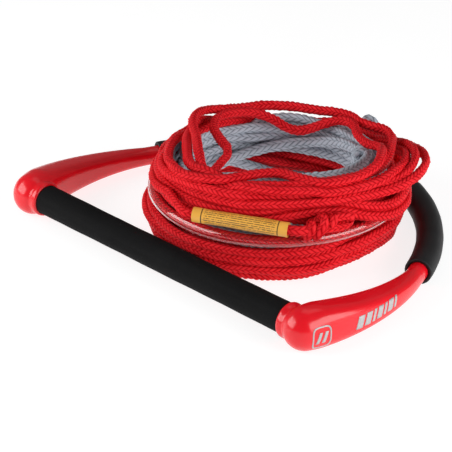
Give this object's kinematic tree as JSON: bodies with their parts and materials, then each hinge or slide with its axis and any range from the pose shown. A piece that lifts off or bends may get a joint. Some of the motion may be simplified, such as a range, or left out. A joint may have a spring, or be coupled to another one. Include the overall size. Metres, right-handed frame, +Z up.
{
  "type": "tow rope handle",
  "caption": "Water sports tow handle: straight cushioned bar between two curved moulded arms, foam floats on the bridle, and a long coiled braided tow line.",
  "frame": {"origin": "middle of the handle's footprint, on the surface that it lies on", "axes": "+X along the grip bar, +Y from the bar to the bridle's apex, +Z up"},
  "size_m": [0.4236, 0.3339, 0.106],
  "materials": {
    "red_moulding": "glossy moulded red urethane",
    "grip_rubber": "matt black cushioned grip",
    "float_foam": "matt black closed-cell foam",
    "bar_aluminium": "drawn tube, satin",
    "core_foam": "white closed-cell foam",
    "bridle_line": "grey braided line",
    "red_line": "red hollow-braided polyethylene line, slight sheen",
    "grey_line": "grey hollow-braided polyethylene line, slight sheen",
    "clear_vinyl": "clear flexible vinyl tube, glossy",
    "yellow_sleeve": "yellow shrink sleeve, satin"
  },
  "bodies": {
    "handle": {"bar_tube": "bar_aluminium", "grip_sleeve": "grip_rubber", "flotation_core": "core_foam", "left_arm": "red_moulding", "right_arm": "red_moulding", "left_stopper_knot": "bridle_line", "right_stopper_knot": "bridle_line", "bridle_rope": "bridle_line", "lower_coil": "red_line", "waist_coil": "red_line", "top_coil": "red_line", "grey_coil": "grey_line", "clear_tube_rope": "red_line", "label_rope": "red_line", "red_knot": "red_line", "knot_loop": "red_line", "side_loop": "red_line", "grey_knot": "grey_line", "grey_end_loop": "grey_line", "mainline_hitch": "red_line", "lead_rope": "red_line"},
    "left_float": {"left_float": "float_foam"},
    "right_float": {"right_float": "float_foam"},
    "label_sleeve": {"label_sleeve": "yellow_sleeve"},
    "clear_tube": {"clear_tube": "clear_vinyl"}
  },
  "joints": [
    {"name": "right_float_slide", "type": "hinge", "parent": "handle", "child": "right_float", "pos_m": [-0.0436, -0.07952, 0.0132], "axis": [0, 0, 1], "range_deg": [-1.18, 5.68]},
    {"name": "left_float_slide", "type": "hinge", "parent": "handle", "child": "left_float", "pos_m": [0.0436, -0.07952, 0.0132], "axis": [0, 0, 1], "range_deg": [-5.68, 1.18]},
    {"name": "sleeve_slide", "type": "slide", "parent": "handle", "child": "label_sleeve", "axis": [0.8665, 0.4977, -0.0385], "range_m": [-0.005, 0.005]},
    {"name": "clear_tube_slide", "type": "hinge", "parent": "handle", "child": "clear_tube", "pos_m": [0.0066, 0.0042, 0.048], "axis": [0, 0, 1], "range_deg": [-6, 6]}
  ]
}
